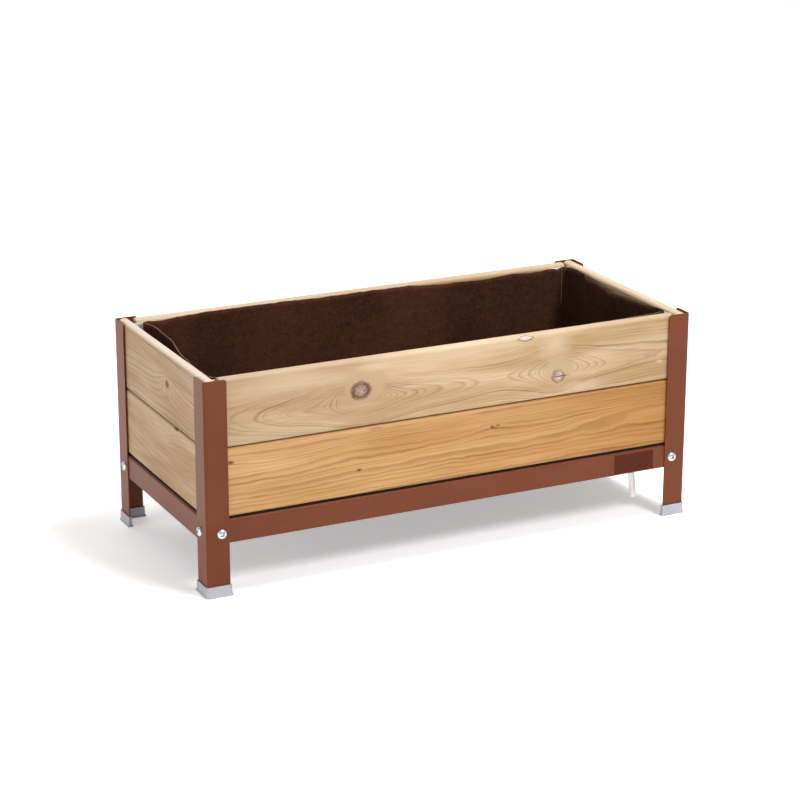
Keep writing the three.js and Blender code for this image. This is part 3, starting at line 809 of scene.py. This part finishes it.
def board_mesh(name, long, thick, high, top_round):
    """A board along X, its face on Y zero and its lower edge on Z zero."""
    ends = []
    for step in range(BOARD_END_STEPS + 1):
        angle = math.radians(90 * step / BOARD_END_STEPS)
        shift = BOARD_END_ROUND * (1 - math.sin(angle))
        ends.append((long / 2 - shift, BOARD_END_ROUND * (1 - math.cos(angle))))
    straight = long / 2 - BOARD_END_ROUND
    count = round(2 * straight / BOARD_STATION)
    stations = [(-along, inset) for along, inset in reversed(ends)]
    stations += [(straight * (2 * step / count - 1), 0) for step in range(1, count)]
    stations += ends
    rings = [
        [(along, depth, up) for depth, up in board_section(thick, high, inset, top_round)]
        for along, inset in stations
    ]
    return mesh_from(name, *capped_skin(rings))


def add_boards():
    for k, side in enumerate(SIDES):
        turn, inward = side_turn(k)
        for row in ROWS:
            node = f"{side}_{row}_board"
            low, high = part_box(node)
            size = high - low
            long, thick = (size.x, size.y) if k % 2 == 0 else (size.y, size.x)
            top_round = BOARD_TOP_ROUND if row == "upper" else BOARD_EDGE_ROUND
            mesh = board_mesh(f"{node}_pine", long, thick, size.z, top_round)
            board = add_object(f"{node}_pine", mesh, pine(f"{node}_pine", BOARDS[f"{side}_{row}"]))
            middle = (low + high) / 2 - inward * thick / 2
            board.matrix_world = Matrix.Translation((middle.x, middle.y, low.z)) @ turn
            weigh_normals(board)
            stand_for(board, f"{row}_pine", node)


# Frame, tray and fasteners
def add_dressed(node, slot, material, round_edge):
    """A CAD node's own shape with its edges rounded."""
    shape = bmesh.new()
    shape.from_mesh(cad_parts[node].data)
    bmesh.ops.remove_doubles(shape, verts=shape.verts, dist=WELD_DISTANCE)
    bmesh.ops.dissolve_limit(shape, angle_limit=FLAT_ANGLE, verts=shape.verts, edges=shape.edges)
    edges = [edge for edge in shape.edges if edge.is_manifold and edge.calc_face_angle() > EDGE_ANGLE]
    bmesh.ops.bevel(
        shape, geom=edges, offset=round_edge, offset_type="OFFSET", segments=EDGE_SEGMENTS, profile=0.5,
        affect="EDGES", clamp_overlap=True,
    )
    mesh = bpy.data.meshes.new(f"{node}_dressed")
    shape.to_mesh(mesh)
    shape.free()
    mesh.shade_smooth()
    piece = add_object(f"{node}_dressed", mesh, material)
    weigh_normals(piece)
    stand_for(piece, slot, node)


def add_frame(steel, metal, plastic, tray_plastic):
    for corner in CORNERS:
        add_dressed(f"leg_{corner}", "painted_steel", steel, FRAME_EDGE_ROUND)
        add_dressed(f"foot_cap_{corner}", "grey_plastic", plastic, FRAME_EDGE_ROUND)
        add_dressed(f"corner_bracket_{corner}", "zinc", metal, FRAME_EDGE_ROUND)
    for k, side in enumerate(SIDES):
        add_dressed(f"{side}_rail", "painted_steel", steel, FRAME_EDGE_ROUND)
        for end in side_ends(k):
            add_dressed(f"{side}_rail_nut_{end}", "zinc", metal, SMALL_EDGE_ROUND)
            for row in ROWS:
                add_dressed(f"{side}_{row}_board_screw_{end}", "zinc", metal, SCREW_EDGE_ROUND)
    add_dressed("drain_tray", "black_plastic", tray_plastic, TRAY_EDGE_ROUND)
    add_dressed("drain_outlet", "black_plastic", tray_plastic, SMALL_EDGE_ROUND)


def bolt_profile():
    """Radius and height from the crown to the shank's tip; the head's seat is at height zero."""
    dome = BOLT_HEAD_HEIGHT - BOLT_HEAD_RIM
    profile = []
    for step in range(1, BOLT_HEAD_STEPS + 1):
        angle = math.radians(90 * step / BOLT_HEAD_STEPS)
        profile.append((BOLT_HEAD_RADIUS * math.sin(angle), -BOLT_HEAD_RIM - dome * math.cos(angle)))
    profile += [
        (BOLT_HEAD_RADIUS, 0),
        (BOLT_SHANK_RADIUS, 0),
        (BOLT_SHANK_RADIUS, BOLT_LENGTH - BOLT_TIP_CUT),
        (BOLT_SHANK_RADIUS - BOLT_TIP_CUT, BOLT_LENGTH),
    ]
    return profile


def bolt_mesh():
    """A bolt along Y with its head towards -Y."""
    profile = bolt_profile()
    points = [(0, -BOLT_HEAD_HEIGHT, 0)]
    for radius, height in profile:
        for k in range(BOLT_SIDES):
            angle = 2 * math.pi * k / BOLT_SIDES
            points.append((radius * math.cos(angle), height, radius * math.sin(angle)))

    def ring(row, k):
        return 1 + row * BOLT_SIDES + k % BOLT_SIDES

    faces = [(0, ring(0, k), ring(0, k + 1)) for k in range(BOLT_SIDES)]
    for row in range(len(profile) - 1):
        faces += [
            (ring(row, k), ring(row + 1, k), ring(row + 1, k + 1), ring(row, k + 1))
            for k in range(BOLT_SIDES)
        ]
    faces.append(tuple(ring(len(profile) - 1, k) for k in range(BOLT_SIDES)))
    return mesh_from("bolt", points, faces)


def recess_mesh():
    """A cross that narrows into the head, as the driver does."""
    arm = (
        (RECESS_SLOT, -RECESS_SLOT),
        (RECESS_ARM, -RECESS_SLOT),
        (RECESS_ARM, RECESS_SLOT),
    )
    outline = []
    for quarter in range(4):
        turn = Matrix.Rotation(math.radians(90 * quarter), 2)
        outline += [turn @ Vector(corner) for corner in arm]
    levels = (
        (-RECESS_OVERSHOOT * BOLT_HEAD_HEIGHT, 1.0),
        (RECESS_DEPTH - BOLT_HEAD_HEIGHT, RECESS_TAPER),
    )
    points = [(spot.x * scale, height, spot.y * scale) for height, scale in levels for spot in outline]
    count = len(outline)
    faces = [tuple(range(count)), tuple(range(2 * count - 1, count - 1, -1))]
    faces += [(k, k + count, (k + 1) % count + count, (k + 1) % count) for k in range(count)]
    return mesh_from("recess", points, faces)


def carved(mesh, tool_mesh):
    """The first mesh with the second one cut out of it."""
    body = bpy.data.objects.new("body", mesh)
    tool = bpy.data.objects.new("tool", tool_mesh)
    for made in (body, tool):
        bpy.context.scene.collection.objects.link(made)
    modifier = body.modifiers.new("cut", "BOOLEAN")
    modifier.object = tool
    modifier.operation = "DIFFERENCE"
    modifier.solver = "EXACT"
    graph = bpy.context.evaluated_depsgraph_get()
    result = bpy.data.meshes.new_from_object(body.evaluated_get(graph))
    for made in (body, tool):
        bpy.data.objects.remove(made)
    result.shade_smooth()
    result.set_sharp_from_angle(angle=CREASE_ANGLE)
    return result


def add_bolts(metal):
    shape = carved(bolt_mesh(), recess_mesh())
    for k, side in enumerate(SIDES):
        turn, inward = side_turn(k)
        outward = FRAME_HALF.y if k % 2 == 0 else FRAME_HALF.x
        for end in side_ends(k):
            node = f"{side}_rail_bolt_{end}"
            low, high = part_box(node)
            middle = (low + high) / 2
            seat = middle - inward * (middle.dot(inward) + outward)
            spin = BOLT_SPIN_START + BOLT_SPIN_SIDE * k + BOLT_SPIN_LETTER * len(end)
            bolt = add_object(f"{node}_turned", shape.copy(), metal)
            bolt.matrix_world = (
                Matrix.Translation(seat) @ turn @ Matrix.Rotation(math.radians(spin), 4, "Y")
            )
            stand_for(bolt, "zinc", node)


# Liner
def eased(form, share, column):
    """A panel edge's value at a share of its run, eased from one of its places to the next."""
    following = max(1, next(k for k, row in enumerate(form) if row[0] >= share))
    low, high = form[following - 1], form[following]
    part = smooth((share - low[0]) / (high[0] - low[0]))
    return low[column] + (high[column] - low[column]) * part


def liner_stations():
    """Places round the liner's outline, and which of them is the lap's end.

    Each has its inward normal, its drop below the rim, its lean and its lap.
    """
    stations = []
    seam = None
    for k, form in enumerate(LINER_EDGES):
        before, after = LINER_EDGES[k - 1], LINER_EDGES[(k + 1) % len(LINER_EDGES)]
        turn, inward = side_turn(k)
        along = turn @ Vector((1, 0, 0))
        half, off = LINER_HALF[k % 2] - LINER_CORNER_ROUND, LINER_HALF[(k + 1) % 2]
        start_pull, end_pull = eased(before, 1, 2), eased(after, 0, 2)
        count = round(2 * half / LINER_STEP)
        laps = k == LINER_LAP_SIDE
        for step in range(count + 1):
            share = step / count
            if step == 0 and k == LINER_LAP_SIDE + 1:
                share = LINER_LAP_SHIFT
            lap = LINER_LAP * max(0, share - LINER_LAP_START) / (1 - LINER_LAP_START) if laps else 0
            place = along * half * (2 * share - 1) - inward * off
            lean = inward * eased(form, share, 2) + along * (start_pull * (1 - share) - end_pull * share)
            stations.append((place, inward, eased(form, share, 1) * MM, lean * MM, lap))
        corner_lean = lean * MM
        centre = along * half + inward * (LINER_CORNER_ROUND - off)
        for step in range(1, LINER_CORNER_STEPS + laps):
            share = step / LINER_CORNER_STEPS
            normal = Matrix.Rotation(math.radians(90 * share), 3, "Z") @ inward
            drop = eased(form, 1, 1) * (1 - share) + eased(after, 0, 1) * share
            stations.append((centre - normal * LINER_CORNER_ROUND, normal, drop * MM, corner_lean, lap))
        if laps:
            seam = len(stations) - 1
    return stations, seam


def ripple(place, share):
    """How far the felt bulges inward, more towards its free edge."""
    broad = noise.noise(place * RIPPLE_BROAD_WAVES) * RIPPLE_BROAD
    fine = noise.noise(place * RIPPLE_FINE_WAVES) * RIPPLE_FINE
    return max(0, (broad + fine + RIPPLE_MIDDLE) * share)


def raggedness(place):
    """How far the cut edge stands above or below its course."""
    fine = noise.noise(place * RAGGED_FINE_WAVES)
    broad = noise.noise(place * RAGGED_BROAD_WAVES)
    return (fine + broad) * RAGGED_SIZE


def liner_ring(stations, inset, share, floor, lapped):
    """One ring of points round the liner, at a share of its height."""
    leaning = smooth(min(1, max(0, (share - LINER_LEAN_START) / (1 - LINER_LEAN_START))))
    points = []
    for place, normal, drop, lean, lap in stations:
        top = RIM - max(LINER_LEAST_DROP, drop - raggedness(place))
        height = (top - floor) * share
        draw_in = 0
        if height < LINER_FOOT_ROUND:
            lift = LINER_FOOT_ROUND - height
            draw_in = LINER_FOOT_ROUND - math.sqrt(LINER_FOOT_ROUND ** 2 - lift ** 2)
        spot = Vector((place.x, place.y, floor + height))
        depth = inset + draw_in + ripple(spot, share) + lap * lapped
        points.append(spot + normal * depth + lean * leaning)
    return points


def liner_mesh():
    """A bag with an outer and an inner skin, and the faces of its cut edge that show light."""
    low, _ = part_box("felt_liner")
    stations, seam = liner_stations()
    count = len(stations)
    shares = [(row / LINER_ROWS) ** LINER_ROW_CROWDING for row in range(LINER_ROWS + 1)]
    floor_in = low.z + LINER_THICKNESS
    outside = [liner_ring(stations, LINER_GAP, share, low.z, 0) for share in shares]
    inside = [liner_ring(stations, LINER_GAP + LINER_THICKNESS, share, floor_in, 1) for share in shares]
    mesh = mesh_from("felt_liner_bag", *capped_skin(outside + inside[::-1]))
    # The cut edge and the lap's seam get a lighter felt: the felt's own lighter cut, with a painted
    # highlight. The right panel's edge, which lies in shade, is as dark as its face
    right_panel = LINER_HALF.x - LINER_CORNER_ROUND
    edges = [LINER_ROWS * count + k for k, station in enumerate(stations) if station[0].x < right_panel]
    edges += [(LINER_ROWS + 1 + row) * count + seam for row in range(LINER_SEAM_ROWS)]
    return mesh, edges


def add_liner():
    mesh, edge_faces = liner_mesh()
    felt = brown_felt("brown_felt", tone(39, 19, 9), tone(88, 52, 34))
    # Lighter felt for the cut edge: its own colour with a painted highlight
    cut_edge_highlight = brown_felt("felt_edge_highlight", tone(92, 64, 50), tone(150, 114, 92))
    liner = add_object("felt_liner_bag", mesh, felt)
    mesh.materials.append(cut_edge_highlight)
    for k in edge_faces:
        mesh.polygons[k].material_index = 1
    stand_for(liner, "brown_felt", "felt_liner")


def add_tube():
    """A hose with an open bore along its route."""
    path = [TUBE_START + Vector((x, y, -fall)) * MM for x, y, fall in TUBE_ROUTE]
    points = []
    for radius, route in ((TUBE_DIAMETER / 2, path), (TUBE_BORE / 2, path[::-1])):
        for middle in route:
            for k in range(TUBE_SIDES):
                angle = 2 * math.pi * k / TUBE_SIDES
                points.append(middle + Vector((radius * math.cos(angle), radius * math.sin(angle), 0)))
    rows = 2 * len(path)
    faces = []
    for row in range(rows):
        for k in range(TUBE_SIDES):
            following = (k + 1) % TUBE_SIDES
            below = (row + 1) % rows
            faces.append((
                row * TUBE_SIDES + following,
                row * TUBE_SIDES + k,
                below * TUBE_SIDES + k,
                below * TUBE_SIDES + following,
            ))
    mesh = mesh_from("drain_tube_hose", points, faces)
    mesh.set_sharp_from_angle(angle=CREASE_ANGLE)
    tube = add_object("drain_tube_hose", mesh, clear_tube())
    stand_for(tube, "clear_tube", "drain_tube")


def add_sticker():
    """A blank film label on the front rail."""
    rail_low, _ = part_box("front_rail")
    left, right = STICKER_LEFT + STICKER_CORNER, STICKER_RIGHT - STICKER_CORNER
    low, high = STICKER_LOW + STICKER_CORNER, STICKER_HIGH - STICKER_CORNER
    corners = (
        (right, low, STICKER_CORNER, -90),
        (right, high, STICKER_CORNER, 0),
        (left, high, STICKER_CORNER, 90),
        (left, low, STICKER_CORNER, 180),
    )
    outline = round_corners(corners, STICKER_CORNER_STEPS)
    shape = bmesh.new()
    face = shape.faces.new([shape.verts.new((along, rail_low.y, up)) for along, up in outline])
    grown = bmesh.ops.extrude_face_region(shape, geom=[face])
    lifted = [part for part in grown["geom"] if isinstance(part, bmesh.types.BMVert)]
    bmesh.ops.translate(shape, verts=lifted, vec=(0, -STICKER_THICKNESS, 0))
    bmesh.ops.recalc_face_normals(shape, faces=shape.faces)
    mesh = bpy.data.meshes.new("blank_sticker")
    shape.to_mesh(mesh)
    shape.free()
    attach(add_object("blank_sticker", mesh, sticker_film()), "root")


# Stage
def add_floor():
    corners = [(x * FLOOR_HALF, y * FLOOR_HALF, 0) for x, y in ((-1, -1), (1, -1), (1, 1), (-1, 1))]
    nodes = Nodes("floor")
    floor = add_object("floor", mesh_from("floor", corners, [(0, 1, 2, 3)]), nodes.material)
    nodes.finish(
        Base_Color=(0.93, 0.93, 0.93, 1), Roughness=0.9, Specular_IOR_Level=0.1,
        Emission_Color=(1, 1, 1, 1), Emission_Strength=FLOOR_GLOW,
    )


def add_light(name, place, aim, size, power):
    data = bpy.data.lights.new(name, "AREA")
    data.shape = "SQUARE"
    data.size = size
    data.energy = power
    light = bpy.data.objects.new(name, data)
    light.location = place
    light.rotation_euler = (Vector(aim) - Vector(place)).to_track_quat("-Z", "Y").to_euler()
    bpy.context.scene.collection.objects.link(light)


def add_lights():
    scene = bpy.context.scene
    scene.view_settings.view_transform = "Standard"
    world = bpy.data.worlds.new("studio")
    world.use_nodes = True
    background = world.node_tree.nodes["Background"]
    background.inputs["Color"].default_value = (1, 1, 1, 1)
    background.inputs["Strength"].default_value = WORLD_STRENGTH
    scene.world = world
    add_light("key", place=(1.0, -2.5, 2.75), aim=LIGHT_AIM, size=1.0, power=77)
    add_light("top", place=(0.8, -0.36, 3.0), aim=LIGHT_AIM, size=1.0, power=54)
    add_light("fill", place=(-3.0, -0.5, 0.6), aim=LIGHT_AIM, size=1.4, power=22)
    add_light("backdrop", place=(0, 5.5, 4.0), aim=(0, 5.5, 0), size=5.0, power=160)


add_camera()
add_tube()
add_liner()
add_boards()
add_frame(painted_steel(), zinc(), grey_plastic(), black_plastic())
add_bolts(bolt_zinc())
add_sticker()
add_floor()
add_lights()
